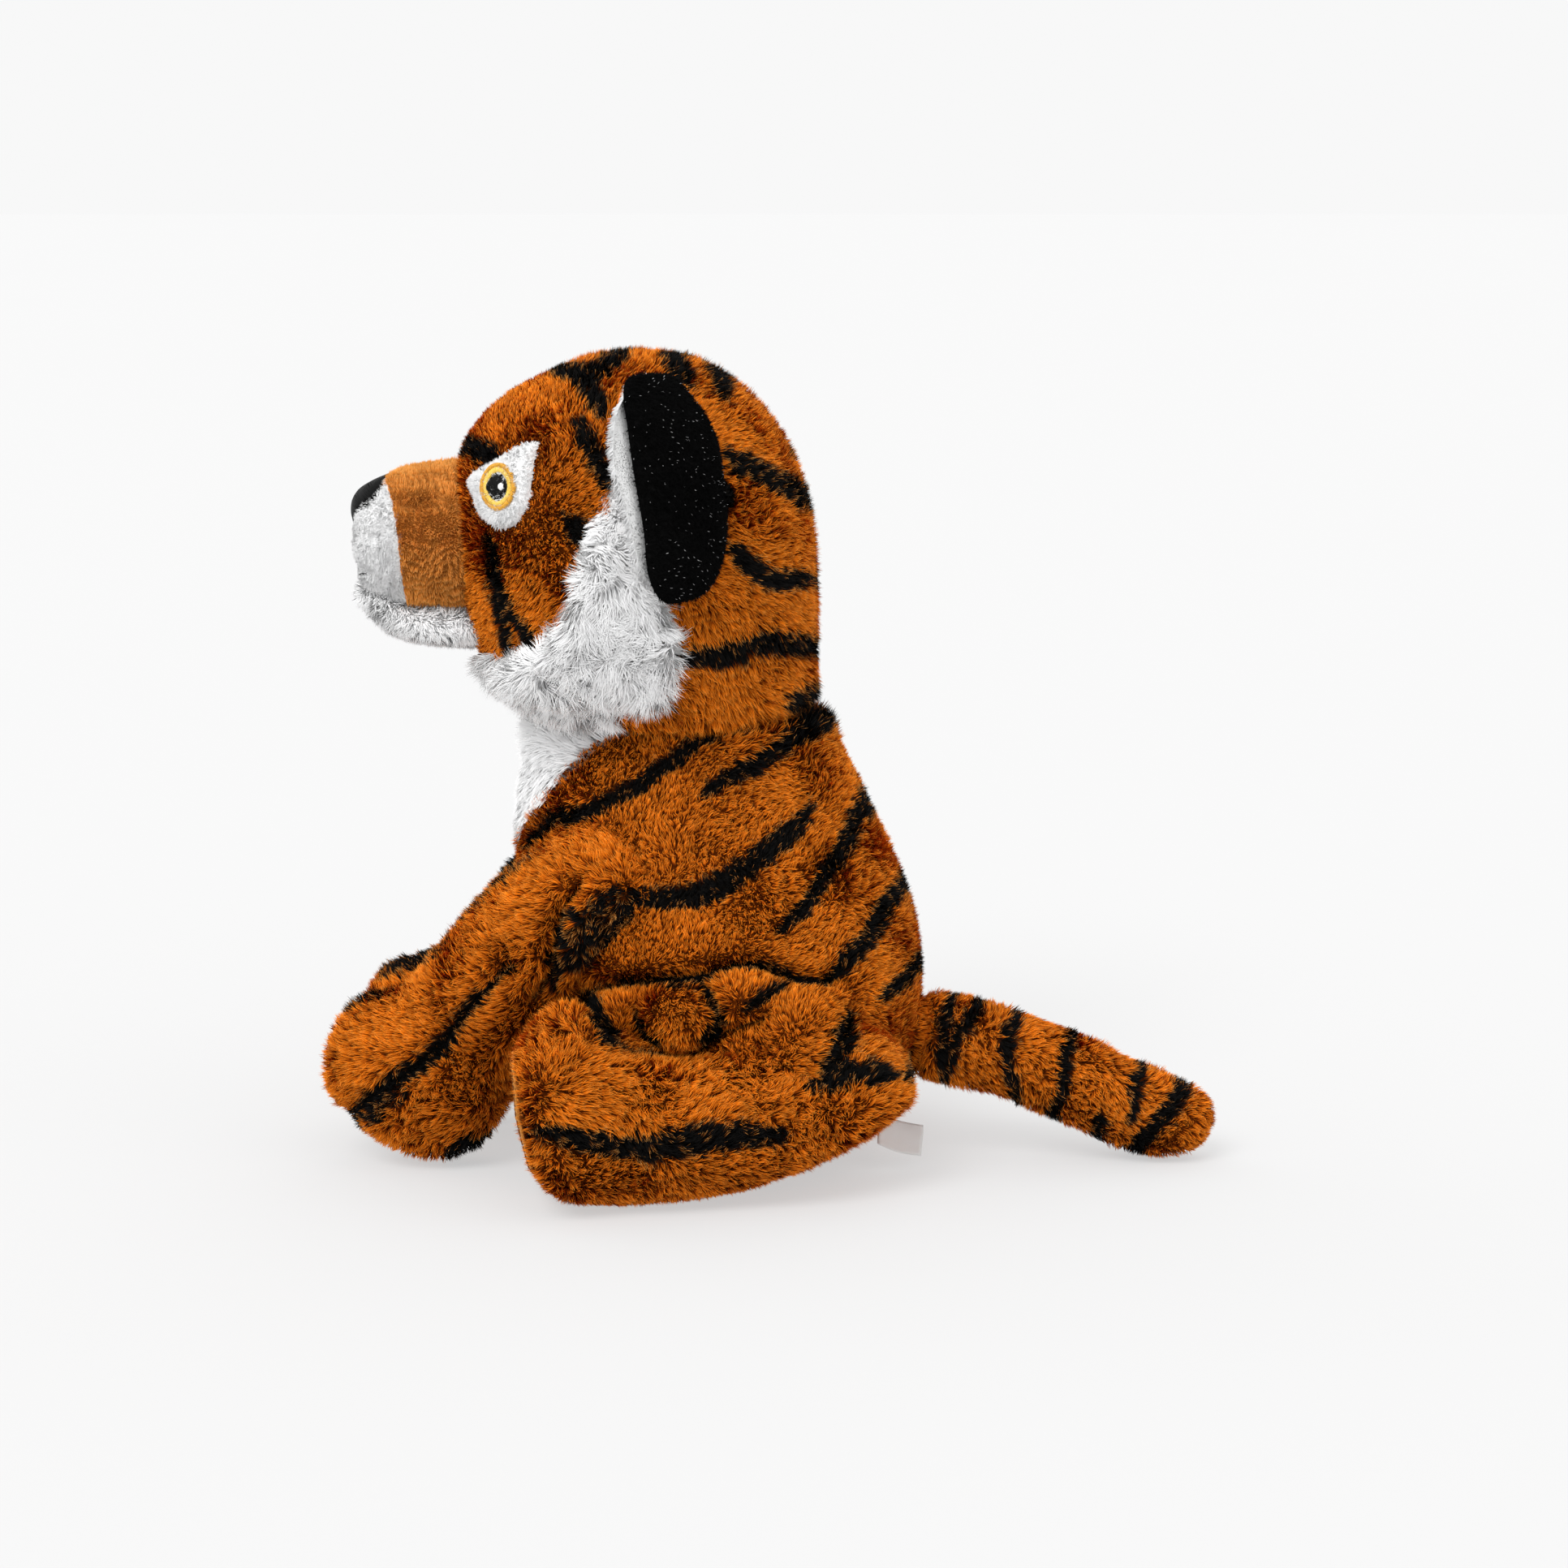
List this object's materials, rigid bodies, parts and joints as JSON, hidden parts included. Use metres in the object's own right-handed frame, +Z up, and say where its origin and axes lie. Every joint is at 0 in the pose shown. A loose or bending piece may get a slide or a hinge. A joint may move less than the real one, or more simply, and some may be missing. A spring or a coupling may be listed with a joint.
{
  "type": "plush tiger",
  "caption": "Seated stuffed striped cat toy with a turning, nodding head, sewn legs that lift and splay, folding ears and a swinging tail.",
  "frame": {"origin": "centre of the footprint box, on the floor plane the toy sits on", "axes": "+Z up, -X the way the toy faces, +Y its right side"},
  "size_m": [0.2718, 0.1866, 0.2478],
  "materials": {
    "orange_pile": "long soft pile",
    "tan_pile": "short pile",
    "white_pile": "soft pile",
    "black_pile": "short pile",
    "gold_thread": "satin stitch",
    "black_thread": "satin stitch",
    "label_tape": "woven tape",
    "fibre_filling": "matt fibre"
  },
  "bodies": {
    "torso": {"torso_skin": "orange_pile", "torso_stuffing": "fibre_filling", "chest_bib": "white_pile", "care_label": "label_tape"},
    "neck": {"neck_pad": "fibre_filling"},
    "head": {"head_skin": "orange_pile", "head_stuffing": "fibre_filling", "muzzle_front": "white_pile", "muzzle_sides": "tan_pile", "nose": "black_pile", "chin": "white_pile", "left_eye_patch": "white_pile", "left_iris": "gold_thread", "left_pupil": "black_thread", "left_cheek_ruff": "white_pile", "right_eye_patch": "white_pile", "right_iris": "gold_thread", "right_pupil": "black_thread", "right_cheek_ruff": "white_pile"},
    "tail": {"tail_skin": "orange_pile", "tail_stuffing": "fibre_filling"},
    "left_front_leg": {"left_front_leg_skin": "orange_pile", "left_front_leg_stuffing": "fibre_filling"},
    "left_hind_leg": {"left_hind_leg_skin": "orange_pile", "left_hind_leg_stuffing": "fibre_filling", "left_foot_sole": "tan_pile"},
    "left_ear": {"left_ear_back": "black_pile", "left_ear_lining": "white_pile"},
    "right_front_leg": {"right_front_leg_skin": "orange_pile", "right_front_leg_stuffing": "fibre_filling"},
    "right_hind_leg": {"right_hind_leg_skin": "orange_pile", "right_hind_leg_stuffing": "fibre_filling", "right_foot_sole": "tan_pile"},
    "right_ear": {"right_ear_back": "black_pile", "right_ear_lining": "white_pile"}
  },
  "joints": [
    {"name": "neck_turn", "type": "hinge", "parent": "torso", "child": "neck", "pos_m": [-0.02795, 0, 0.15], "axis": [0, 0, 1], "range_deg": [-30, 30]},
    {"name": "head_nod", "type": "hinge", "parent": "neck", "child": "head", "pos_m": [-0.02795, 0, 0.15], "axis": [0, 1, 0], "range_deg": [-8, 8]},
    {"name": "left_shoulder", "type": "hinge", "parent": "torso", "child": "left_front_leg", "pos_m": [-0.04695, -0.034, 0.089], "axis": [0, 1, 0], "range_deg": [-3, 40]},
    {"name": "left_hip", "type": "hinge", "parent": "torso", "child": "left_hind_leg", "pos_m": [0.02205, -0.043, 0.0285], "axis": [0, 0, 1], "range_deg": [0, 20]},
    {"name": "left_ear_fold", "type": "hinge", "parent": "head", "child": "left_ear", "pos_m": [-0.01193, -0.0465, 0.209], "axis": [0, 0.4226, 0.9063], "range_deg": [-8, 8], "stiffness_Nm_per_rad": 0.02},
    {"name": "right_shoulder", "type": "hinge", "parent": "torso", "child": "right_front_leg", "pos_m": [-0.04695, 0.034, 0.089], "axis": [0, 1, 0], "range_deg": [-3, 40]},
    {"name": "right_hip", "type": "hinge", "parent": "torso", "child": "right_hind_leg", "pos_m": [0.02205, 0.043, 0.0285], "axis": [0, 0, -1], "range_deg": [0, 20]},
    {"name": "right_ear_fold", "type": "hinge", "parent": "head", "child": "right_ear", "pos_m": [-0.01193, 0.0465, 0.209], "axis": [0, -0.4226, 0.9063], "range_deg": [-8, 8], "stiffness_Nm_per_rad": 0.02},
    {"name": "tail_swing", "type": "hinge", "parent": "torso", "child": "tail", "pos_m": [0.04605, 0, 0.038], "axis": [0, 0, 1], "range_deg": [-28, 28]}
  ]
}
